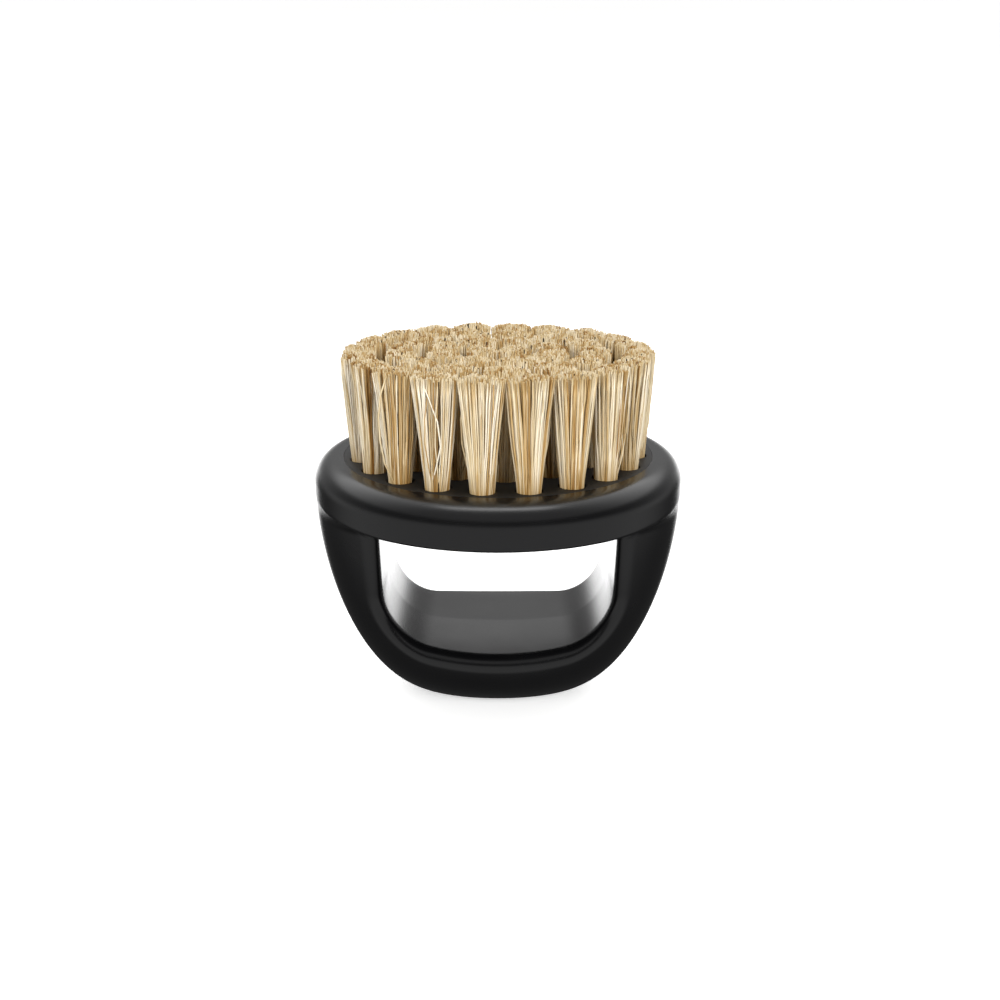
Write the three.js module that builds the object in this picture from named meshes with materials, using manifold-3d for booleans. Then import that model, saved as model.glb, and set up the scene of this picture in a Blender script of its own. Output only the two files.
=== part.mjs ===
// A round brush for fading hair: a disc head on a finger stirrup, with bristle tufts in rings.
// Millimetres, +Z up towards the bristle tips. The origin is the middle of the flat foot.
import * as THREE from 'three';
import { mergeVertices } from 'three/addons/utils/BufferGeometryUtils.js';
import Module from 'manifold-3d';

// Driving dimensions
const headRadius = 35;
const headThickness = 8;
const headFloor = 2.3; // plastic left under the bristle plate
const headRimWidth = 5.6; // recess to the head's side
const headEdgeRound = 4; // rounding of the head's upper edge
const headLipRound = 1.5; // rounding of its lower edge
const stirrupHeight = 42; // flat foot to the head's underside

// Outer form of the stirrup: elliptical sections that narrow downwards
const stirrupTopDepth = 56; // front to back, under the head
const stirrupTipDepth = 27.4; // front to back, where the taper alone would end
const stirrupTipDrop = 1.3; // how far the round bottom would reach below the flat foot
const widthFullness = { power: 1.7, root: 3 }; // side to side outline, a squarish quarter round
const depthFullness = { power: 10, root: 1.2 }; // front to back outline, rounder towards the bottom

// Finger tunnel, front to back through the stirrup
const tunnelWidth = 43;
const tunnelFloorHeight = 14.7; // above the foot, in the middle
const tunnelFloorArch = 100; // radius of the dished floor
const tunnelCornerRound = 9; // floor to wall
const tunnelCeilingRound = 3; // wall to ceiling

// Bristle plate, set flush in the head's recess
const plateEdgeChamfer = 0.4;
const plateClearance = 0.3;

// Bristle tufts, in rings from the edge to the middle, each turned some degrees from the front
const tuftRings = [
  { name: 'outer', count: 20, turn: -6 },
  { name: 'middle', count: 13, turn: 4.5 },
  { name: 'inner', count: 8, turn: 22.5 },
  { name: 'centre', count: 2, turn: 90 },
];
const outerRingInset = 3.3; // plate edge to the outer ring of tufts
const centreRingRadius = 3;
const bristleLength = 20; // above the plate
const tuftNeckRadius = 2.15;
const tuftHoleFloor = 1.2; // plate left under a hole
const tuftHoleClearance = 0.3;
const tuftTipGap = 0.6; // between the spread tips of two tufts

// Fineness of the round surfaces
const headSides = 72;
const stirrupSides = 60;
const stirrupRows = 16;
const stirrupRowCrowding = 1.7; // above 1, the rows crowd towards the foot
const arcSteps = 6;
const tuftSides = 12;
const cutOverrun = 10; // how far a cutting tool stands out of what it cuts

const headUnderside = stirrupHeight;
const headTop = headUnderside + headThickness;
const recessRadius = headRadius - headRimWidth;
const recessFloor = headUnderside + headFloor;
const plateRadius = recessRadius - plateClearance;
const plateBottom = recessFloor + plateClearance;
const tuftHoleRadius = tuftNeckRadius + tuftHoleClearance;
const tuftHoleBottom = plateBottom + tuftHoleFloor;
const outerRingRadius = plateRadius - outerRingInset;
const ringSpacing = (outerRingRadius - centreRingRadius) / (tuftRings.length - 1);

const blackPlastic = { color: 0x1b1b1d, roughness: 0.4, metalness: 0 };
const plateBlack = { color: 0x161617, roughness: 0.5, metalness: 0 };
const bristle = { color: 0xd8c7a3, roughness: 0.75, metalness: 0 };

const wasm = await Module();
wasm.setup();

// A closed three.js geometry as a solid that can be cut and joined.
function toSolid(geometry) {
  const bare = geometry.index ? geometry.toNonIndexed() : geometry.clone();
  bare.deleteAttribute('normal');
  bare.deleteAttribute('uv');
  const merged = mergeVertices(bare, 1e-4);
  return new wasm.Manifold(new wasm.Mesh({
    numProp: 3,
    vertProperties: new Float32Array(merged.attributes.position.array),
    triVerts: new Uint32Array(merged.index.array),
  }));
}

function toGeometry(solid) {
  const mesh = solid.getMesh();
  const geometry = new THREE.BufferGeometry();
  geometry.setAttribute('position', new THREE.BufferAttribute(mesh.vertProperties, 3));
  geometry.setIndex(new THREE.BufferAttribute(mesh.triVerts, 1));
  geometry.computeVertexNormals();
  return geometry;
}

// Points of an arc, from one angle to another in degrees.
function arcPoints(centreX, centreY, radius, from, to) {
  return Array.from({ length: arcSteps + 1 }, (_, step) => {
    const angle = THREE.MathUtils.degToRad(from + (to - from) * step / arcSteps);
    return new THREE.Vector2(centreX + radius * Math.cos(angle), centreY + radius * Math.sin(angle));
  });
}

// A body of revolution about Z, from a profile of (radius, height) points that starts and ends
// on the axis, running up the outside.
function turned(profile, sides) {
  return new THREE.LatheGeometry(profile, sides).rotateX(Math.PI / 2);
}

// A stack of elliptical sections, each { z, a, b } with half widths a along X and b along Y,
// from the lowest to the highest.
function ellipseStack(sections, sides) {
  const profile = sections.map(({ z, a }) => new THREE.Vector2(a, z));
  profile.unshift(new THREE.Vector2(0, sections[0].z));
  profile.push(new THREE.Vector2(0, sections.at(-1).z));
  const geometry = turned(profile, sides);
  const position = geometry.attributes.position;
  for (let i = 0; i < position.count; i += 1) {
    const row = i % profile.length;
    const section = sections[Math.min(Math.max(row - 1, 0), sections.length - 1)];
    position.setY(i, position.getY(i) * section.b / section.a);
  }
  return geometry;
}

function headSolid() {
  const profile = [
    new THREE.Vector2(0, headUnderside),
    ...arcPoints(headRadius - headLipRound, headUnderside + headLipRound, headLipRound, -90, 0),
    ...arcPoints(headRadius - headEdgeRound, headTop - headEdgeRound, headEdgeRound, 0, 90),
    new THREE.Vector2(0, headTop),
  ];
  return toSolid(turned(profile, headSides));
}

// Half widths of the stirrup's outside at a height above the foot.
function stirrupSection(z) {
  const drop = (headUnderside - z) / (headUnderside + stirrupTipDrop);
  const taper = (stirrupTopDepth + (stirrupTipDepth - stirrupTopDepth) * drop) / 2;
  return {
    z,
    a: headRadius * (1 - drop ** widthFullness.power) ** (1 / widthFullness.root),
    b: taper * (1 - drop ** depthFullness.power) ** (1 / depthFullness.root),
  };
}

function stirrupSolid() {
  const sections = Array.from({ length: stirrupRows + 1 }, (_, row) => {
    const share = (row / stirrupRows) ** stirrupRowCrowding;
    return stirrupSection(headUnderside * share);
  });
  const top = sections.at(-1);
  sections.push({ z: headUnderside + headLipRound, a: top.a, b: top.b });
  return toSolid(ellipseStack(sections, stirrupSides));
}

// The tunnel's outline seen from the front: dished floor, round corners, upright walls and a
// flat ceiling. The corner arcs touch the floor arc and the walls.
function tunnelSolid() {
  const half = tunnelWidth / 2;
  const floorCentre = tunnelFloorHeight + tunnelFloorArch;
  const cornerX = half - tunnelCornerRound;
  const reach = tunnelFloorArch - tunnelCornerRound;
  const cornerZ = floorCentre - Math.sqrt(reach ** 2 - cornerX ** 2);
  const meet = THREE.MathUtils.radToDeg(Math.asin(cornerX / reach));
  const ceilingX = half - tunnelCeilingRound;
  const ceilingZ = headUnderside - tunnelCeilingRound;
  const outline = new THREE.Shape([
    ...arcPoints(0, floorCentre, tunnelFloorArch, -90 - meet, -90 + meet),
    ...arcPoints(cornerX, cornerZ, tunnelCornerRound, -90 + meet, 0).slice(1),
    ...arcPoints(ceilingX, ceilingZ, tunnelCeilingRound, 0, 90),
    ...arcPoints(-ceilingX, ceilingZ, tunnelCeilingRound, 90, 180),
    ...arcPoints(-cornerX, cornerZ, tunnelCornerRound, 180, 270 - meet).slice(0, -1),
  ]);
  const depth = 2 * (headRadius + cutOverrun);
  const bar = new THREE.ExtrudeGeometry(outline, { depth, bevelEnabled: false, steps: 1 });
  return toSolid(bar.translate(0, 0, -depth / 2).rotateX(Math.PI / 2));
}

// A round cutter that stands on a floor height and reaches out of the head's top.
function pocket(radius, floor, sides) {
  const depth = headTop + cutOverrun - floor;
  const cutter = new THREE.CylinderGeometry(radius, radius, depth, sides);
  return cutter.rotateX(Math.PI / 2).translate(0, 0, floor + depth / 2);
}

function handleGeometry() {
  const recess = toSolid(pocket(recessRadius, recessFloor, headSides));
  const whole = headSolid().add(stirrupSolid());
  return toGeometry(whole.subtract(tunnelSolid()).subtract(recess));
}

// Where each tuft stands, and the half widths that its tips can spread to: across, along its
// ring, and outward, away from the middle.
function tuftPlaces() {
  return tuftRings.flatMap(({ name, count, turn }, ring) => {
    const radius = outerRingRadius - ring * ringSpacing;
    const halfChord = radius * Math.sin(Math.PI / count);
    const across = halfChord - tuftTipGap / 2;
    const outward = Math.min(ringSpacing / 2, halfChord) - tuftTipGap / 2;
    return Array.from({ length: count }, (_, place) => {
      const angle = THREE.MathUtils.degToRad(turn - 90 + 360 * place / count);
      return {
        name: `${name}_tuft_${String(place + 1).padStart(2, '0')}`,
        x: radius * Math.cos(angle),
        y: radius * Math.sin(angle),
        angle,
        across,
        outward,
      };
    });
  });
}

const places = tuftPlaces();

// The plate, with a blind hole for each tuft.
function plateGeometry() {
  let plate = toSolid(turned([
    new THREE.Vector2(0, plateBottom),
    new THREE.Vector2(plateRadius, plateBottom),
    new THREE.Vector2(plateRadius, headTop - plateEdgeChamfer),
    new THREE.Vector2(plateRadius - plateEdgeChamfer, headTop),
    new THREE.Vector2(0, headTop),
  ], headSides));
  for (const { x, y, angle } of places) {
    const drill = pocket(tuftHoleRadius, tuftHoleBottom, tuftSides);
    plate = plate.subtract(toSolid(drill.rotateZ(angle).translate(x, y, 0)));
  }
  return toGeometry(plate);
}

// A tuft about its own axis, standing on the plate's top: round in its hole, then spreading.
function tuftGeometry({ across, outward }) {
  return toGeometry(toSolid(ellipseStack([
    { z: tuftHoleBottom + tuftHoleClearance - headTop, a: tuftNeckRadius, b: tuftNeckRadius },
    { z: 0, a: tuftNeckRadius, b: tuftNeckRadius },
    { z: bristleLength, a: outward, b: across },
  ], tuftSides)));
}

function mesh(name, geometry, finish) {
  const piece = new THREE.Mesh(geometry, new THREE.MeshStandardMaterial(finish));
  piece.name = name;
  return piece;
}

const brush = new THREE.Group();
brush.add(mesh('handle', handleGeometry(), blackPlastic));
brush.add(mesh('bristle_plate', plateGeometry(), plateBlack));
for (const place of places) {
  const tuft = mesh(place.name, tuftGeometry(place), bristle);
  tuft.position.set(place.x, place.y, headTop);
  tuft.rotation.z = place.angle;
  brush.add(tuft);
}

export default brush;
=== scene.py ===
import bpy
import numpy as np
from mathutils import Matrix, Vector


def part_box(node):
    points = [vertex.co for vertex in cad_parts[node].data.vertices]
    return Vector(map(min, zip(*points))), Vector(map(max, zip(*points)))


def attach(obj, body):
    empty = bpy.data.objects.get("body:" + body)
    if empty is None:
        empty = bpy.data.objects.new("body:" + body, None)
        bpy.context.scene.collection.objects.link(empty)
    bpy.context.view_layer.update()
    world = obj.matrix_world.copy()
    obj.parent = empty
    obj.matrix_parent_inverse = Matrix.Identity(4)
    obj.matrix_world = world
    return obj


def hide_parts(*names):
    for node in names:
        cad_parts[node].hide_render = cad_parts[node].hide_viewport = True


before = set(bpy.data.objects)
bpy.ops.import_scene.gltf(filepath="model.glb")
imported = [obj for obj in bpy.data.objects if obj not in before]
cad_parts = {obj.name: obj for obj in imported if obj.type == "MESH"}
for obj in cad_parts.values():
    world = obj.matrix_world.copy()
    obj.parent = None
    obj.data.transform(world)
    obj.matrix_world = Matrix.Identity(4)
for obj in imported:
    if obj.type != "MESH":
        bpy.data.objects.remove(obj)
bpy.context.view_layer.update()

mm = 0.001  # shapes are worked out in millimetres and stored in metres
cutOverrun = 2.0  # how far a cutter stands out of what it cuts
rng = np.random.default_rng(738)


def cadSpan(node):
    # lowest and highest corner of a CAD node, in millimetres
    return tuple(np.array(corner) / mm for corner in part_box(node))


handleHigh = cadSpan("handle")[1]
plateLow, plateHigh = cadSpan("bristle_plate")
headRadius = handleHigh[0]
headTop = handleHigh[2]


def quadMesh(name, points, quads, bake=None):
    # points in millimetres and quads as index rows go straight into the mesh
    mesh = bpy.data.meshes.new(name)
    mesh.vertices.add(len(points))
    mesh.vertices.foreach_set("co", (np.asarray(points) * mm).astype(np.float32).ravel())
    mesh.loops.add(quads.size)
    mesh.loops.foreach_set("vertex_index", quads.astype(np.int32).ravel())
    mesh.polygons.add(len(quads))
    mesh.polygons.foreach_set("loop_start", np.arange(0, quads.size, 4, dtype=np.int32))
    mesh.polygons.foreach_set("use_smooth", np.ones(len(quads), bool))
    if bake is not None:
        layer = mesh.uv_layers.new(name="OFBake")
        layer.uv.foreach_set("vector", bake.astype(np.float32).ravel())
    mesh.update(calc_edges=True)
    mesh.validate()
    piece = bpy.data.objects.new(name, mesh)
    bpy.context.scene.collection.objects.link(piece)
    return piece


def gridQuads(rows, columns, closedRows=False):
    # corners of each cell of a grid that is closed round its columns, and round its rows where
    # asked, with the corners' places on a unit square for baking
    spans = rows if closedRows else rows - 1
    row, column = np.meshgrid(np.arange(spans), np.arange(columns), indexing="ij")
    row, column = row.ravel(), column.ravel()
    steps = [(0, 0), (0, 1), (1, 1), (1, 0)]
    quads, bake = [], []
    for r, c in steps:
        quads.append((row + r) % rows * columns + (column + c) % columns)
        bake.append(np.stack([(row + r) / spans, (column + c) / columns], axis=-1))
    return np.stack(quads, axis=1), np.stack(bake, axis=1)


def band(bake, low, high):
    # squeezes the bake square into the rows from low to high
    return bake * [1, high - low] + [0, low]


def outward(points, quads, bake):
    # turns the faces round if the volume that they enclose comes out negative
    a, b, c, d = (points[quads[:, k]] for k in range(4))
    volume = (a * np.cross(b, c)).sum() + (a * np.cross(c, d)).sum()
    return (quads, bake) if volume > 0 else (quads[:, ::-1], bake[:, ::-1])


def turnedPoints(profile, sides, x=0.0, y=0.0):
    # (radius, height) carried round an upright axis at x, y: (x + r cos t, y + r sin t, height)
    angle = np.linspace(0, 2 * np.pi, sides, endpoint=False)
    radius, height = np.array(profile, float).T
    ring = [x + radius[:, None] * np.cos(angle), y + radius[:, None] * np.sin(angle)]
    ring.append(np.repeat(height[:, None], sides, axis=1))
    return np.stack(ring, axis=-1).reshape(-1, 3)


def turnedPiece(name, profile, sides, bakeRows=None):
    # a turned surface from its lowest ring to its highest, each end closed by one flat face;
    # bakeRows are the rows of the bake square that the sides take, from and to, then the ends'
    points = turnedPoints(profile, sides)
    quads, bake = gridQuads(len(profile), sides)
    lower = np.arange(sides)
    upper = len(points) - sides + lower
    mesh = bpy.data.meshes.new(name)
    faces = quads.tolist() + [lower[::-1].tolist(), upper.tolist()]
    mesh.from_pydata((points * mm).tolist(), [], faces)
    mesh.polygons.foreach_set("use_smooth", np.ones(len(faces), bool))
    if bakeRows is not None:
        low, high, endLow, endHigh = bakeRows
        sideBake = band(bake[..., ::-1].reshape(-1, 2), low, high)
        flat = points[:, :2] / np.abs(points[:, :2]).max() / 2 + 0.5
        flat = band(flat, endLow, endHigh)
        layer = mesh.uv_layers.new(name="OFBake")
        every = np.concatenate([sideBake, flat[lower[::-1]], flat[upper]])
        layer.uv.foreach_set("vector", every.astype(np.float32).ravel())
    mesh.update()
    piece = bpy.data.objects.new(name, mesh)
    bpy.context.scene.collection.objects.link(piece)
    return piece


def arc(centreRadius, centreHeight, radius, start, end, steps):
    # points of an arc in a profile, angles in degrees from outwards towards up
    angle = np.radians(np.linspace(start, end, steps + 1))
    return list(zip(centreRadius + radius * np.cos(angle), centreHeight + radius * np.sin(angle)))


def cutAway(piece, cutter):
    # takes the cutter's volume out of the piece, for good
    cut = piece.modifiers.new("cut", "BOOLEAN")
    cut.operation = "DIFFERENCE"
    cut.solver = "EXACT"
    cut.object = cutter
    graph = bpy.context.evaluated_depsgraph_get()
    result = bpy.data.meshes.new_from_object(piece.evaluated_get(graph))
    piece.modifiers.clear()
    piece.data = result
    bpy.data.objects.remove(cutter)


def sharpAbove(piece, degrees):
    # edges that turn by more than this show as edges
    piece.data.set_sharp_from_angle(angle=np.radians(degrees))


def linear(hexColour):
    # an sRGB hex colour as linear light, with alpha 1
    value = np.array([int(hexColour[k:k + 2], 16) for k in (1, 3, 5)]) / 255
    light = np.where(value <= 0.04045, value / 12.92, ((value + 0.055) / 1.055) ** 2.4)
    return (*light.tolist(), 1.0)


def newMaterial(name):
    # a material, its nodes and its shader
    material = bpy.data.materials.new(name)
    material.use_nodes = True
    return material, material.node_tree, material.node_tree.nodes["Principled BSDF"]


def addNode(tree, kind, settings=None, links=None):
    # a node with its settings, by attribute or input name, and what feeds its inputs
    node = tree.nodes.new(kind)
    for key, value in (settings or {}).items():
        if isinstance(key, str) and hasattr(node, key):
            setattr(node, key, value)
        else:
            node.inputs[key].default_value = value
    for key, source in (links or {}).items():
        tree.links.new(source, node.inputs[key])
    return node


mixFirst, mixSecond, mixResult = 6, 7, 2  # places of a mix node's sockets for colours


def fillRamp(node, stops):
    # (position, hex colour) pairs become the stops of a colour ramp
    elements = node.color_ramp.elements
    while len(elements) < len(stops):
        elements.new(0.5)
    for element, (position, colour) in zip(elements, stops):
        element.position = position
        element.color = linear(colour)


handleShape = {
    "headThickness": 8.0,
    "edgeRound": 4.0,      # upper edge of the head
    "lipRound": 0.6,       # lower edge of the head, in front and behind
    "lipSide": 1.5,        # the same edge over the legs
    "lipPower": 6,         # how late the one gives way to the other
    "rimWidth": 5.6,       # recess to the head's side
    "headFloor": 2.3,      # plastic under the bristle plate
    "recessLip": 0.05,     # rounding of the recess's edge
    "recessChamfer": 0.3,  # slope between the recess's wall and floor
    "recessSides": 256,
    "topDepth": 28.0,      # half the stirrup's depth under the head
    "tipDepth": 13.7,      # half its depth where the taper alone would end
    "tipDrop": 1.3,        # how far the taper would reach below the foot
    "widthPower": 1.7, "widthRoot": 3.0,
    "depthPower": 10.0, "depthRoot": 1.2,
    "footRound": 0.5,
    "tunnelHalf": 21.5,    # half the tunnel's width
    "tunnelFloor": 14.7,   # above the foot, in the middle
    "floorArch": 100.0,    # radius of the dished floor
    "floorCrown": 0.2,     # rise of the floor's parting line over its ends, the mould cores' draft
    "cornerRound": 9.0,
    "mouthRound": 3.4,     # edge between the tunnel and the outside
    "legFillet": 3.0,      # legs to the head's underside
    "axisRise": 1.5,       # axis of the half planes over the middle of the tunnel's height
    "loops": 176,          # sections from the foot to the head's middle
    "around": 128,         # points from the tunnel's wall round to the outside
    "turnWeight": 2.5,     # how much closer the points stand where the outline bends
    "sharpAngle": 40,
    "bakeShare": 0.8,      # of the bake square, for the outside
    "recessBake": (0.82, 0.86, 0.88, 1.0),   # its rows for the recess's wall, and for its floor
}

walkPlan = {
    "outlineRays": 1201,
    "sectionRays": 361,
    "steps": 60,
    "sectionSteps": 45,
    "far": 60.0,           # start of the rays that come in from outside
    "settles": 3,          # last corrections onto the surface
    "share": 0.85,         # of the distance to the surface that one step takes
    "longest": 3.0,        # one step goes no further than this
}


def joined(a, b, r):
    # two distances become one whose inner corner is filled by a round of radius r
    return np.maximum(r, np.minimum(a, b)) - np.hypot(np.maximum(r - a, 0), np.maximum(r - b, 0))


def cutBy(a, b, r):
    # the part of a outside b, with its outer corner rounded by r
    return -joined(-a, b, r)


def slopeOf(field, p, step=0.02):
    # gradient by central differences
    parts = []
    for axis in np.eye(3) * step:
        parts.append((field(p + axis) - field(p - axis)) / (2 * step))
    return np.stack(parts, axis=-1)


def headField(p):
    # distance to a disc whose section is a box with round corners: the length of (x, z) counted
    # from a corner's centre, less the corner's radius, which is one above and another below
    s = handleShape
    radius = np.hypot(p[..., 0], p[..., 1])
    half = s["headThickness"] / 2
    height = p[..., 2] - (headTop - half)
    beside = (p[..., 0] / np.maximum(radius, 1)) ** s["lipPower"]
    lip = s["lipRound"] + (s["lipSide"] - s["lipRound"]) * beside
    corner = np.where(height > 0, s["edgeRound"], lip)
    x = radius - headRadius + corner
    z = np.abs(height) - half + corner
    return np.hypot(np.maximum(x, 0), np.maximum(z, 0)) + np.minimum(np.maximum(x, z), 0) - corner


def stirrupRatio(p):
    # elliptical sections: 0 on the surface, where (x/a)^2 + (y/b)^2 is 1; a and b shrink downwards
    # by (1 - drop^power)^(1/root), and b by a straight taper too
    s = handleShape
    underside = headTop - s["headThickness"]
    drop = np.clip((underside - p[..., 2]) / (underside + s["tipDrop"]), 0, 0.9995)
    a = headRadius * (1 - drop ** s["widthPower"]) ** (1 / s["widthRoot"])
    b = s["topDepth"] + (s["tipDepth"] - s["topDepth"]) * drop
    b = b * (1 - drop ** s["depthPower"]) ** (1 / s["depthRoot"])
    return np.hypot(p[..., 0] / a, p[..., 1] / b) - 1


def stirrupField(p):
    # the ratio over its slope is close to a distance near the surface
    slope = slopeOf(stirrupRatio, p)
    size = np.maximum(np.linalg.norm(slope, axis=-1), 1e-4)
    distance = np.clip(stirrupRatio(p) / size, -40, 40)
    return distance, slope / size[..., None]


def tunnelField(p):
    # negative inside the tunnel: upright walls, |x| = tunnelHalf, and a dished floor, an arc with
    # the radius floorArch, meet in round corners; the floor rises to a faint line midway, at y = 0
    s = handleShape
    wall = np.abs(p[..., 0]) - s["tunnelHalf"]
    radius = s["floorArch"]
    crown = s["floorCrown"] * np.clip(1 - np.abs(p[..., 1]) / s["tipDepth"], 0, 1)
    arch = np.hypot(p[..., 0], p[..., 2] - s["tunnelFloor"] - crown - radius) - radius
    return cutBy(wall, -arch, s["cornerRound"])


def handleField(p):
    # the stirrup without its tunnel, flat at the foot, joined to the head by a fillet that fades
    # out where the two surfaces run flush
    s = handleShape
    stirrup, facing = stirrupField(p)
    stirrup = cutBy(stirrup, tunnelField(p), s["mouthRound"])
    stirrup = cutBy(stirrup, p[..., 2], s["footRound"])
    stirrup = np.maximum(stirrup, p[..., 2] - headTop + s["headThickness"] / 2)
    flush = (facing * slopeOf(headField, p)).sum(-1)
    return joined(stirrup, headField(p), s["legFillet"] * np.clip(1 - flush, 0.02, 1))


def walk(origin, direction, side, steps):
    # moves along each ray by its distance to the surface, in steps short enough not to jump it;
    # side is 1 from outside, -1 from inside
    share, longest = walkPlan["share"], walkPlan["longest"]
    t = np.zeros(origin.shape[:-1])
    for _ in range(steps):
        away = handleField(origin + t[..., None] * direction)
        t = t + side * np.clip(share * away, -longest, longest)
    return t


def evenly(path, count, turnWeight):
    # shares along each row's polyline, close together where it bends: spacing follows
    # length + turnWeight * turning angle
    step = np.diff(path, axis=1)
    size = np.linalg.norm(step, axis=-1)
    heading = step / np.maximum(size, 1e-9)[..., None]
    turn = np.arccos(np.clip((heading[:, 1:] * heading[:, :-1]).sum(-1), -1, 1))
    weight = size.copy()
    weight[:, 1:] += turnWeight * turn / 2
    weight[:, :-1] += turnWeight * turn / 2
    total = np.concatenate([np.zeros((len(path), 1)), np.cumsum(weight, axis=1)], axis=1)
    wanted = np.linspace(0, 1, count)
    source = np.arange(path.shape[1])
    return np.stack([np.interp(wanted * row[-1], row, source) for row in total])


def sample(path, index):
    # points of each row's polyline at fractional indices
    low = np.clip(np.floor(index).astype(int), 0, path.shape[1] - 2)
    part = (index - low)[..., None]
    rows = np.arange(len(path))[:, None]
    return path[rows, low] * (1 - part) + path[rows, low + 1] * part


def handleQuarter():
    # Half planes turn about an axis along Y through the tunnel. In each, rays leave the middle of
    # the plastic and stop on the surface; the points are then spaced out and settled on it.
    s, w = handleShape, walkPlan
    axisHeight = (s["tunnelFloor"] + headTop - s["headThickness"]) / 2 + s["axisRise"]
    axis = np.array([0, 0, axisHeight])
    turn = np.radians(np.linspace(-90, 90, w["outlineRays"]))
    ray = np.stack([np.cos(turn), 0 * turn, np.sin(turn)], axis=-1)
    centre = np.broadcast_to(axis, ray.shape)
    inner = walk(centre, ray, 1, w["steps"])
    outer = w["far"] - walk(centre + w["far"] * ray, -ray, 1, w["steps"])
    outline = (axis + outer[:, None] * ray)[None]
    chosen = evenly(outline, s["loops"], s["turnWeight"])[0]
    every = np.arange(w["outlineRays"])
    turn, inner, outer = (np.interp(chosen, every, value) for value in (turn, inner, outer))
    ray = np.stack([np.cos(turn), 0 * turn, np.sin(turn)], axis=-1)
    middle = axis + ((inner + outer) / 2)[:, None] * ray
    front = np.broadcast_to([0.0, -1.0, 0.0], ray.shape)
    depth = walk(middle, front, -1, w["steps"])
    half = (outer - inner) / 2
    around = np.linspace(0, np.pi, w["sectionRays"])
    direction = (-np.cos(around)[None, :, None] * half[:, None, None] * ray[:, None]
                 + np.sin(around)[None, :, None] * depth[:, None, None] * front[:, None])
    direction /= np.linalg.norm(direction, axis=-1, keepdims=True)
    start = np.broadcast_to(middle[:, None], direction.shape)
    path = start + walk(start, direction, -1, w["sectionSteps"])[..., None] * direction
    points = sample(path, evenly(path, s["around"] + 1, s["turnWeight"]))
    for _ in range(w["settles"]):
        slope = slopeOf(handleField, points)
        slope[:, [0, -1], 1] = 0
        slope[[0, -1], :, 0] = 0
        points = points - handleField(points)[..., None] * slope / (slope ** 2).sum(-1, keepdims=True)
    points[[0, -1], :, 0] = 0
    points[:, [0, -1], 1] = 0
    return points


def makeHandle():
    # the quarter mirrored to the back and to the left, less a round recess for the bristle plate
    s = handleShape
    quarter = handleQuarter()
    back = quarter[:, -2:0:-1] * [1, -1, 1]
    right = np.concatenate([quarter, back], axis=1)
    left = right[-2:0:-1] * [-1, 1, 1]
    grid = np.concatenate([right, left])
    rows, columns = grid.shape[:2]
    points = grid.reshape(-1, 3)
    quads, bake = gridQuads(rows, columns, closedRows=True)
    quads, bake = outward(points, quads, bake)
    piece = quadMesh("handle_moulding", points, quads, band(bake, 0, s["bakeShare"]))
    floor = headTop - s["headThickness"] + s["headFloor"]
    radius = headRadius - s["rimWidth"]
    lip, chamfer = s["recessLip"], s["recessChamfer"]
    profile = [(radius - chamfer, floor), (radius, floor + chamfer)]
    profile += arc(radius + lip, headTop - lip, lip, 180, 100, 5)
    profile.append((radius + lip, headTop + cutOverrun))
    cutAway(piece, turnedPiece("recess", profile, s["recessSides"], bakeRows=s["recessBake"]))
    sharpAbove(piece, s["sharpAngle"])
    return piece


print("handle: working out the surface")
handle = makeHandle()
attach(handle, "root")
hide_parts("handle")


def frameTufts():
    # each tuft of the frame: its name, middle, direction and distance from the axis, foot and tip
    # heights, and its pitch, the way along the ring to the next tuft
    names = sorted(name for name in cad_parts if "tuft" in name)
    rings = [name.split("_")[0] for name in names]
    found = []
    for name, ring in zip(names, rings):
        low, high = cadSpan(name)
        x, y = (low[:2] + high[:2]) / 2
        radius = np.hypot(x, y)
        found.append({"name": name, "x": x, "y": y, "away": np.arctan2(y, x), "radius": radius,
                      "foot": low[2], "tip": high[2], "pitch": 2 * np.pi * radius / rings.count(ring)})
    return found


tufts = frameTufts()

plateShape = {
    "edgeRound": 0.05,
    "lowerChamfer": 0.2,
    "wallGap": 0.02,       # to the recess round it
    "sides": 240,
    "holeRadius": 2.45,
    "holeLip": 0.15,       # rounding of a hole's edge
    "holeFloor": 1.2,      # plate left under a hole
    "holeSides": 32,
    "drillOverrun": 1.0,   # how far the drills stand out of the plate
    "sharpAngle": 35,
}


def makePlate():
    # a disc with a rounded upper edge, less one blind hole for each tuft
    s = plateShape
    lip, chamfer = s["edgeRound"], s["lowerChamfer"]
    radius = headRadius - handleShape["rimWidth"] - s["wallGap"]
    profile = [(radius - chamfer, plateLow[2]), (radius, plateLow[2] + chamfer)]
    profile += arc(radius - lip, plateHigh[2] - lip, lip, 0, 90, 4)
    piece = turnedPiece("plate_disc", profile, s["sides"])
    mouth = s["holeRadius"] + s["holeLip"]
    hole = [(s["holeRadius"], plateLow[2] + s["holeFloor"])]
    hole += arc(mouth, plateHigh[2] - s["holeLip"], s["holeLip"], 180, 110, 3)
    hole.append((mouth, plateHigh[2] + s["drillOverrun"]))
    sides = s["holeSides"]
    rings, _ = gridQuads(len(hole), sides)
    points, faces = [], []
    for number, tuft in enumerate(tufts):
        first = number * len(hole) * sides
        last = first + (len(hole) - 1) * sides
        points.append(turnedPoints(hole, sides, tuft["x"], tuft["y"]))
        faces += (rings + first).tolist()
        faces += [list(range(first, first + sides))[::-1], list(range(last, last + sides))]
    mesh = bpy.data.meshes.new("drills")
    mesh.from_pydata((np.concatenate(points) * mm).tolist(), [], faces)
    drills = bpy.data.objects.new("drills", mesh)
    bpy.context.scene.collection.objects.link(drills)
    cutAway(piece, drills)
    piece.data.polygons.foreach_set("use_smooth", np.ones(len(piece.data.polygons), bool))
    sharpAbove(piece, s["sharpAngle"])
    return piece


print("plate: drilling", len(tufts), "holes")
plate = makePlate()
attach(plate, "root")
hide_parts("bristle_plate")


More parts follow.
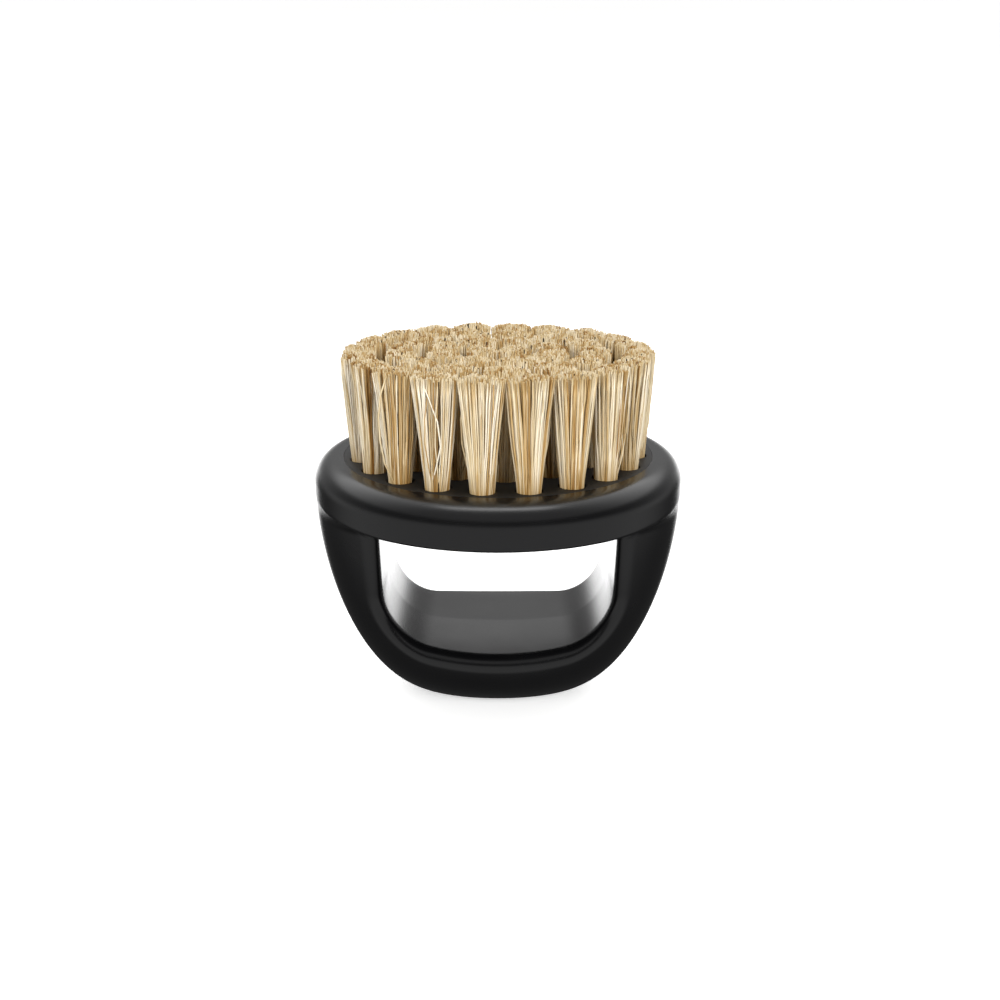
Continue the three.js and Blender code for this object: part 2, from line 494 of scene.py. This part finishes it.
anchorShape = {
    "length": 4.5,
    "height": 1.5,
    "thickness": 0.42,
    "aboveFloor": 0.9,     # hole's floor to the wire's lower edge, room for the folded hair
    "sides": 16,
    "nipped": [(0.6, 1), (0.95, 0.9), (0.985, 0.62), (1, 0.02)],   # share of half length, of section
}


def makeAnchors():
    # short flat wires across the holes: superellipse sections |y/b|^4 + |z/c|^4 = 1 along each
    # wire, drawn in at the ends where the cutter nipped it
    s = anchorShape
    reach, section = np.array(s["nipped"], float).T
    along = np.concatenate([-reach[::-1], [0], reach]) * s["length"] / 2
    size = np.concatenate([section[::-1], [1], section])
    turn = np.linspace(0, 2 * np.pi, s["sides"], endpoint=False)
    wave = [np.sign(f(turn)) * np.abs(f(turn)) ** 0.5 for f in (np.cos, np.sin)]
    thick = size[:, None] * wave[0] * s["thickness"] / 2
    tall = size[:, None] * wave[1] * s["height"] / 2
    lengthways = np.repeat(along[:, None], s["sides"], axis=1)
    ring, _ = gridQuads(len(along), s["sides"])
    points, quads = [], []
    for number, tuft in enumerate(tufts):
        turned = tuft["away"]
        x = tuft["x"] + thick * np.cos(turned) - lengthways * np.sin(turned)
        y = tuft["y"] + thick * np.sin(turned) + lengthways * np.cos(turned)
        middle = plateLow[2] + plateShape["holeFloor"] + s["aboveFloor"] + s["height"] / 2
        points.append(np.stack([x, y, middle + tall], axis=-1).reshape(-1, 3))
        quads.append(ring + number * lengthways.size)
    points, quads = np.concatenate(points), np.concatenate(quads)
    quads, _ = outward(points, quads, quads)
    return quadMesh("tuft_anchors", points, quads)


print("anchors: one flat wire in each hole")
anchors = makeAnchors()
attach(anchors, "root")


bristleShape = {
    "count": 400,          # hairs that stand up from one hole
    "sides": 4,            # a square tube, so that its ends are quads too
    "rings": (0.2, 0.42, 0.64, 0.83, 1.0),   # heights of a hair's sections over the plate
    "footRadius": 0.145,
    "tipRadius": 0.12,
    "thickness": (0.8, 1.2),   # least and most, times those radii
    "neckRadius": 2.05,    # bundle at the plate
    "across": 4.05,        # half width of the tips along the ring
    "mostPitch": 0.51,     # of the pitch, that this half width may take
    "outwardTips": 2.95,   # half width of the tips away from the axis
    "centreAcross": 3.3, "centreOutward": 2.9,
    "centreRadius": 6.0,   # tufts closer to the axis than this count as the centre ones
    "lean": 0.45,          # outer ring's tips away from the axis
    "squareness": 3.2,     # of the tips' outline, where 2 is an ellipse
    "spreadPower": 1.1,    # the bundle widens a little faster towards the tips
    "locks": 34,           # groups of hairs that lean together
    "pull": 0.3,           # share of the way that a hair moves to its lock's middle
    "pullRange": (0.4, 1.3),   # times that share, from lock to lock
    "placeScatter": 0.03,  # of the bundle's radius
    "tipScatter": 0.2,
    "dome": 0.75,          # how far the outermost tips end below the middle ones
    "rise": 0.35,          # middle tips over the tuft's height in the frame
    "lockHeight": 0.12,    # scatter of the height from lock to lock
    "ragged": 0.5,         # how far the shortest hairs end below the others
    "bow": 0.132,
    "wave": 0.06,
    "strayShare": 0.04,
    "strayBow": 1.02,
    "tone": 0.6, "lockTone": 0.12, "hairTone": 0.11,   # mean and scatters, 0 dark to 1 pale
    "toneRange": (0.2, 1.0),
    "darkShare": 0.01,
    "darkTone": 0.1,       # palest of the dark hairs
    "bakeSides": (0.06, 0.9), "bakeRoot": (0.0, 0.04), "bakeTip": (0.94, 1.0),   # rows of a hair's cell
    "bakeMargin": 0.06,
}


def bristlePaths(tuft, random):
    # Centre lines. A hair keeps its place in the bundle, a disc, and the disc widens from the
    # neck to the tips: place = neck + (tip - neck) * h^1.1 + bow * sin(pi h) + wave * sin(3 pi h),
    # with h the height, 0 at the plate and 1 at the tip.
    s = bristleShape
    n = s["count"]
    order = np.arange(n) + 0.5
    disc = np.sqrt(order / n)
    angle = order * np.pi * (3 - np.sqrt(5)) + random.uniform(0, 2 * np.pi)
    disc = np.clip(disc + random.normal(0, s["placeScatter"], n), 0, 1)
    spot = disc[:, None] * np.stack([np.cos(angle), np.sin(angle)], axis=-1)
    square = 1 / (np.abs(np.cos(angle)) ** s["squareness"]
                  + np.abs(np.sin(angle)) ** s["squareness"]) ** (1 / s["squareness"])
    if tuft["radius"] < s["centreRadius"]:
        reach = [s["centreOutward"], s["centreAcross"]]
    else:
        reach = [s["outwardTips"], min(s["across"], s["mostPitch"] * tuft["pitch"])]
    tips = spot * square[:, None] * reach
    if tuft["name"].startswith("outer"):
        tips[:, 0] += s["lean"]
    lockAt = random.permutation(n)[:s["locks"]]
    lock = np.argmin(((spot[:, None] - spot[lockAt]) ** 2).sum(-1), axis=1)
    pull = s["pull"] * random.uniform(*s["pullRange"], s["locks"])[lock]
    tips = tips + (tips[lockAt][lock] - tips) * pull[:, None] + random.normal(0, s["tipScatter"], (n, 2))
    height = (tuft["tip"] + s["rise"] - s["dome"] * disc ** 2
              + random.normal(0, s["lockHeight"], s["locks"])[lock]
              - s["ragged"] * random.uniform(0, 1, n) ** 2)
    plateTop = plateHigh[2]
    z = [np.full(n, tuft["foot"]), np.full(n, plateTop)]
    z += [plateTop + (height - plateTop) * h for h in s["rings"]]
    z = np.stack(z, axis=1)
    h = np.clip((z - plateTop) / (height - plateTop)[:, None], 0, 1)
    neck = spot * s["neckRadius"]
    stray = random.uniform(0, 1, n) < s["strayShare"]
    bow = random.normal(0, s["bow"], (n, 2)) + stray[:, None] * random.normal(0, s["strayBow"], (n, 2))
    wave = random.normal(0, s["wave"], (n, 2))
    place = (neck[:, None] + (tips - neck)[:, None] * (h ** s["spreadPower"])[..., None]
             + bow[:, None] * np.sin(np.pi * h)[..., None]
             + wave[:, None] * np.sin(3 * np.pi * h)[..., None])
    tone = s["tone"] + random.normal(0, s["lockTone"], s["locks"])[lock]
    tone = (tone + random.normal(0, s["hairTone"], n)).clip(*s["toneRange"])
    dark = random.uniform(0, 1, n) < s["darkShare"]
    tone = np.where(dark, random.uniform(0, s["darkTone"], n), tone)
    return place, z, h, tone


def makeBristles(tuft, random):
    # a tube of a few sides round each centre line, with a flat end
    s = bristleShape
    place, z, h, tone = bristlePaths(tuft, random)
    n, rings = z.shape
    sides = s["sides"]
    thick = s["footRadius"] + (s["tipRadius"] - s["footRadius"]) * h
    thick = thick * random.uniform(*s["thickness"], n)[:, None]
    turn = np.linspace(0, 2 * np.pi, sides, endpoint=False) + random.uniform(0, 2 * np.pi, n)[:, None]
    away = place[:, :, None, 0] + thick[..., None] * np.cos(turn)[:, None]
    side = place[:, :, None, 1] + thick[..., None] * np.sin(turn)[:, None]
    c, d = np.cos(tuft["away"]), np.sin(tuft["away"])
    points = np.stack([tuft["x"] + away * c - side * d, tuft["y"] + away * d + side * c,
                       np.broadcast_to(z[..., None], away.shape)], axis=-1)
    ring, bake = gridQuads(rings, sides)
    ends = np.array([[3, 2, 1, 0], [0, 1, 2, 3]]) + [[0], [(rings - 1) * sides]]
    quads = np.concatenate([ring, ends])
    corner = np.array([[0, 0], [1, 0], [1, 1], [0, 1]])
    endBake = [band(corner, *s["bakeRoot"]), band(corner, *s["bakeTip"])]
    bake = np.concatenate([band(bake[..., ::-1], *s["bakeSides"]), endBake])
    cells = int(np.ceil(np.sqrt(n)))
    cell = np.stack([np.arange(n) % cells, np.arange(n) // cells], axis=-1)
    bake = (cell[:, None, None] + s["bakeMargin"] + (1 - 2 * s["bakeMargin"]) * bake[None]) / cells
    quads = quads[None] + (np.arange(n) * rings * sides)[:, None, None]
    name = tuft["name"].replace("_tuft_", "_bristles_")
    piece = quadMesh(name, points.reshape(-1, 3), quads.reshape(-1, 4), bake)
    toneLayer = piece.data.attributes.new("tone", "FLOAT", "POINT")
    toneLayer.data.foreach_set("value", np.repeat(tone, rings * sides).astype(np.float32))
    alongLayer = piece.data.attributes.new("along", "FLOAT", "POINT")
    alongLayer.data.foreach_set("value", np.repeat(h.ravel(), sides).astype(np.float32))
    return piece


bristlePieces = []
for tuft in tufts:
    piece = makeBristles(tuft, rng)
    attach(piece, "root")
    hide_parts(tuft["name"])
    bristlePieces.append(piece)
print("bristles:", len(bristlePieces), "tufts of", bristleShape["count"])


plasticFinish = {
    "satinBlackAbs": {"colour": "#0a0a0b", "roughness": 0.25, "grain": 0.3},
    "mattBlackPlate": {"colour": "#0a0a0a", "roughness": 0.62, "grain": 0.5},
    "grainSize": 0.35, "grainHeight": 0.02,
    "patchSize": 14.0,     # slow changes of gloss and shade over a moulding
    "glossChange": (-0.05, 0.06),   # added to the roughness
    "shadeChange": (0.85, 1.15),    # times the colour
    "ior": 1.5,
}


def mouldedPlastic(name):
    # injection-moulded ABS with a spark-eroded mould finish: near black, a soft wide highlight,
    # and a grain of about a third of a millimetre that only breaks the highlight up
    s, look = plasticFinish, plasticFinish[name]
    material, tree, shader = newMaterial(name)
    where = addNode(tree, "ShaderNodeTexCoord").outputs["Object"]
    fine = addNode(tree, "ShaderNodeTexNoise",
                   {"Scale": 1 / (s["grainSize"] * mm), "Detail": 3.0, "Roughness": 0.6},
                   {"Vector": where})
    broad = addNode(tree, "ShaderNodeTexNoise",
                    {"Scale": 1 / (s["patchSize"] * mm), "Detail": 2.0}, {"Vector": where})
    smoothest, roughest = (look["roughness"] + change for change in s["glossChange"])
    gloss = addNode(tree, "ShaderNodeMapRange", {"To Min": smoothest, "To Max": roughest},
                    {"Value": broad.outputs["Fac"]})
    tree.links.new(gloss.outputs["Result"], shader.inputs["Roughness"])
    bump = addNode(tree, "ShaderNodeBump", {"Strength": look["grain"], "Distance": s["grainHeight"] * mm},
                   {"Height": fine.outputs["Fac"]})
    tree.links.new(bump.outputs["Normal"], shader.inputs["Normal"])
    darkest, lightest = s["shadeChange"]
    shade = addNode(tree, "ShaderNodeMapRange", {"To Min": darkest, "To Max": lightest},
                    {"Value": broad.outputs["Fac"]})
    base = addNode(tree, "ShaderNodeMix",
                   {"data_type": "RGBA", "blend_type": "MULTIPLY", "Factor": 1.0,
                    mixFirst: linear(look["colour"])}, {mixSecond: shade.outputs["Result"]})
    tree.links.new(base.outputs[mixResult], shader.inputs["Base Color"])
    shader.inputs["IOR"].default_value = s["ior"]
    return material


bristleFinish = {
    "patchAcross": 0.5, "patchAlong": 5.0,   # size of the mottling
    "mottle": 0.14,        # most that a patch adds to a hair's tone, or takes off
    "tones": [(0.0, "#1e1813"), (0.1, "#5a422a"), (0.25, "#a67d45"), (0.45, "#ceb07c"),
              (0.6, "#e8d8b5"), (0.74, "#faf0da"), (1.0, "#fff9ec")],   # dark hairs to palest
    "rootTintTipShade": [(0.0, "#d2c2a6"), (0.2, "#f8f4ec"), (0.88, "#fffefb"), (1.0, "#d5ccba")],   # root to tip: darker at the roots, painted shade at the cut tips
    "roughness": 0.5, "ior": 1.55, "sheen": 0.2,
}


def boarBristle():
    # bleached natural bristle: straw to cream, darker at the roots, painted shade at the cut tips, a few
    # dark hairs, and a soft lengthways sheen
    s = bristleFinish
    material, tree, shader = newMaterial("bleachedBoarBristle")
    tone = addNode(tree, "ShaderNodeAttribute", {"attribute_name": "tone"})
    along = addNode(tree, "ShaderNodeAttribute", {"attribute_name": "along"})
    where = addNode(tree, "ShaderNodeTexCoord")
    across, lengthways = 1 / (s["patchAcross"] * mm), 1 / (s["patchAlong"] * mm)
    stretched = addNode(tree, "ShaderNodeMapping", {"Scale": (across, across, lengthways)},
                        {"Vector": where.outputs["Object"]})
    mottle = addNode(tree, "ShaderNodeTexNoise", {"Scale": 1.0, "Detail": 2.0},
                     {"Vector": stretched.outputs["Vector"]})
    drift = addNode(tree, "ShaderNodeMapRange", {"To Min": -s["mottle"], "To Max": s["mottle"]},
                    {"Value": mottle.outputs["Fac"]})
    mixed = addNode(tree, "ShaderNodeMath", {"operation": "ADD"},
                    {0: tone.outputs["Fac"], 1: drift.outputs["Result"]})
    colour = addNode(tree, "ShaderNodeValToRGB", None, {"Fac": mixed.outputs["Value"]})
    fillRamp(colour, s["tones"])
    # the ramp along each hair darkens the roots, and darkens the tips as painted shade standing in for
    # the dark gaps between the cut ends
    rootTintTipShadeRamp = addNode(tree, "ShaderNodeValToRGB", None, {"Fac": along.outputs["Fac"]})
    fillRamp(rootTintTipShadeRamp, s["rootTintTipShade"])
    shaded = addNode(tree, "ShaderNodeMix",
                     {"data_type": "RGBA", "blend_type": "MULTIPLY", "Factor": 1.0},
                     {mixFirst: colour.outputs["Color"], mixSecond: rootTintTipShadeRamp.outputs["Color"]})
    tree.links.new(shaded.outputs[mixResult], shader.inputs["Base Color"])
    shader.inputs["Roughness"].default_value = s["roughness"]
    shader.inputs["IOR"].default_value = s["ior"]
    shader.inputs["Specular IOR Level"].default_value = s["sheen"]
    return material


wireFinish = {
    "bloomSize": 0.4,
    "roughness": (0.3, 0.55),
    "zinc": [(0.0, "#8d9093"), (1.0, "#c3c6c8")],
}


def flatWire():
    # galvanised flat steel wire: bright grey, dulled in patches by the zinc's bloom
    s = wireFinish
    material, tree, shader = newMaterial("galvanisedWire")
    where = addNode(tree, "ShaderNodeTexCoord")
    bloom = addNode(tree, "ShaderNodeTexNoise", {"Scale": 1 / (s["bloomSize"] * mm), "Detail": 3.0},
                    {"Vector": where.outputs["Object"]})
    smoothest, roughest = s["roughness"]
    gloss = addNode(tree, "ShaderNodeMapRange", {"To Min": smoothest, "To Max": roughest},
                    {"Value": bloom.outputs["Fac"]})
    tree.links.new(gloss.outputs["Result"], shader.inputs["Roughness"])
    colour = addNode(tree, "ShaderNodeValToRGB", None, {"Fac": bloom.outputs["Fac"]})
    fillRamp(colour, s["zinc"])
    tree.links.new(colour.outputs["Color"], shader.inputs["Base Color"])
    shader.inputs["Metallic"].default_value = 1.0
    return material


def wear(piece, material):
    # the piece's only material
    piece.data.materials.clear()
    piece.data.materials.append(material)


print("materials")
wear(handle, mouldedPlastic("satinBlackAbs"))
wear(plate, mouldedPlastic("mattBlackPlate"))
wear(anchors, flatWire())
bristleMaterial = boarBristle()
for piece in bristlePieces:
    wear(piece, bristleMaterial)


stageShape = {
    "floorRings": (1.0, 200.0, 500.0),
    "floorRadius": 900.0,
    "coveRadius": 350.0,
    "wallTop": 900.0,
    "bendSteps": 16,
    "turnSteps": 96,
    "floorColour": "#f4f4f3",
    "roughness": 0.9,
    "glow": 0.45,          # lit from below like a light table
}


def makeCove(name, startDegrees, endDegrees):
    # a floor that curves up into a wall: the profile turned through part of a circle
    s = stageShape
    bend = np.radians(np.linspace(-90, 0, s["bendSteps"] + 1))
    radius = [*s["floorRings"], *(s["floorRadius"] + s["coveRadius"] * np.cos(bend))]
    height = [0.0 for _ in s["floorRings"]] + [*(s["coveRadius"] * (1 + np.sin(bend)))]
    radius, height = np.array(radius + radius[-1:]), np.array(height + [s["wallTop"]])
    turn = np.radians(np.linspace(startDegrees, endDegrees, s["turnSteps"] + 1))
    columns = len(turn)
    points = np.stack([radius[:, None] * np.cos(turn), radius[:, None] * np.sin(turn),
                       np.repeat(height[:, None], columns, axis=1)], axis=-1)
    row, column = np.meshgrid(np.arange(len(radius) - 1), np.arange(columns - 1), indexing="ij")
    first = (row * columns + column).ravel()
    quads = np.stack([first, first + columns, first + columns + 1, first + 1], axis=1)
    cove = quadMesh(name, points.reshape(-1, 3), quads)
    cove.visible_glossy = cove.visible_diffuse = cove.visible_shadow = False
    return cove


print("stage, lights and camera")
backCove = makeCove("stage_back", 0, 180)
frontCove = makeCove("stage_front", 180, 360)
paper, _, paperShader = newMaterial("studioPaper")
paperShader.inputs["Base Color"].default_value = linear(stageShape["floorColour"])
paperShader.inputs["Roughness"].default_value = stageShape["roughness"]
paperShader.inputs["Emission Color"].default_value = linear("#ffffff")
paperShader.inputs["Emission Strength"].default_value = stageShape["glow"]
for cove in (backCove, frontCove):
    wear(cove, paper)


def softbox(name, place, aim, size, power, inGloss=True):
    # a rectangular area light that points at aim, unseen by the camera
    light = bpy.data.lights.new(name, "AREA")
    light.shape = "RECTANGLE"
    light.size, light.size_y = size[0] * mm, size[1] * mm
    light.energy = power
    lamp = bpy.data.objects.new(name, light)
    bpy.context.scene.collection.objects.link(lamp)
    start, end = Vector(place) * mm, Vector(aim) * mm
    lamp.location = start
    lamp.rotation_euler = (end - start).to_track_quat("-Z", "Y").to_euler()
    lamp.visible_camera = False
    lamp.visible_glossy = inGloss


lightPlan = {
    # the strip that the head's upper edge mirrors
    "overhead": dict(place=(0, -30, 620), aim=(0, -20, 45), size=(400, 150), power=0.8),
    # the two that light the bristles and leave no highlight on the plastic
    "keyLeft": dict(place=(-380, -620, 330), aim=(0, 0, 45), size=(420, 320), power=3.25,
                    inGloss=False),
    "fillRight": dict(place=(380, -620, 330), aim=(0, 0, 45), size=(420, 320), power=4.3,
                      inGloss=False),
}
for name, plan in lightPlan.items():
    softbox(name, **plan)


skyPlan = {
    # each strength slides smoothly between two values as one measure of the direction runs through
    # a range: the measure, the range's start and end, and the strength at each
    "air": ("ahead", -0.45, 0.75, 0.07, 0.34),       # above the horizon, dim in front
    "high": ("up", 0.37, 0.5, 1.0, 6.0),             # times brighter higher up
    "table": ("ahead", -0.6, 0.6, 0.6, 0.55),        # the paper's glow, front to back
    "shade": ("under", -0.85, -0.32, 0.1, 1.0),      # share left in the shadow close by
    "back": ("ahead", 0.8, 0.94, 0.0, 3.6),          # paper mirrored at a shallow angle
    "low": ("up", -0.52, -0.33, 0.0, 1.0),           # where that mirror ends
    "horizon": ("up", -0.12, 0.1, 0.0, 1.0),         # paper below, air above
    "tilt": 0.85,                                    # of the shadow's measure, up - tilt * ahead
}


def makeSky():
    # soft surround: dim in front, bright behind; below the horizon it stands in for the paper:
    # strength = horizon between (table * shade + back * low) and air * high
    world = bpy.data.worlds.new("studioAir")
    world.use_nodes = True
    tree = world.node_tree
    where = addNode(tree, "ShaderNodeTexCoord")
    split = addNode(tree, "ShaderNodeSeparateXYZ", None, {"Vector": where.outputs["Generated"]})
    product = {"operation": "MULTIPLY"}
    measure = {"ahead": split.outputs["Y"], "up": split.outputs["Z"]}
    tilt = addNode(tree, "ShaderNodeMath", {**product, 1: skyPlan["tilt"]}, {0: measure["ahead"]})
    under = addNode(tree, "ShaderNodeMath", {"operation": "SUBTRACT"},
                    {0: measure["up"], 1: tilt.outputs["Value"]})
    measure["under"] = under.outputs["Value"]
    strength = {}
    for name in ("air", "high", "table", "shade", "back", "low", "horizon"):
        which, start, end, first, last = skyPlan[name]
        slide = addNode(tree, "ShaderNodeMapRange",
                        {"interpolation_type": "SMOOTHSTEP", "From Min": start, "From Max": end,
                         "To Min": first, "To Max": last}, {"Value": measure[which]})
        strength[name] = slide.outputs["Result"]
    airGlow = addNode(tree, "ShaderNodeMath", product, {0: strength["air"], 1: strength["high"]})
    around = addNode(tree, "ShaderNodeMath", product, {0: strength["table"], 1: strength["shade"]})
    behind = addNode(tree, "ShaderNodeMath", product, {0: strength["back"], 1: strength["low"]})
    paperGlow = addNode(tree, "ShaderNodeMath", {"operation": "ADD"},
                        {0: around.outputs["Value"], 1: behind.outputs["Value"]})
    glow = addNode(tree, "ShaderNodeMix", None,
                   {"Factor": strength["horizon"], "A": paperGlow.outputs["Value"],
                    "B": airGlow.outputs["Value"]})
    background = tree.nodes["Background"]
    background.inputs["Color"].default_value = linear("#ffffff")
    tree.links.new(glow.outputs["Result"], background.inputs["Strength"])
    bpy.context.scene.world = world


makeSky()
bpy.context.scene.view_settings.view_transform = "Standard"


cameraPlan = {
    "distance": 220.0,     # in front of the axis
    "elevation": 17.78,    # degrees, looking down
    "aimHeight": 40.2,     # on the axis
    "lens": 42.74,
    "sensor": 36.0,
    "shift": 0.002,
    "nearest": 10.0,       # what is closer isn't shown
}


def makeCamera():
    # stands in front of the brush and a little above it, and looks at its axis
    s = cameraPlan
    camera = bpy.data.cameras.new("camera")
    camera.lens = s["lens"]
    camera.sensor_width = s["sensor"]
    camera.shift_x = s["shift"]
    camera.clip_start = s["nearest"] * mm
    holder = bpy.data.objects.new("camera", camera)
    bpy.context.scene.collection.objects.link(holder)
    rise = s["aimHeight"] + s["distance"] * np.tan(np.radians(s["elevation"]))
    holder.location = np.array([0, -s["distance"], rise]) * mm
    holder.rotation_euler = (np.radians(90 - s["elevation"]), 0, 0)
    bpy.context.scene.camera = holder


makeCamera()
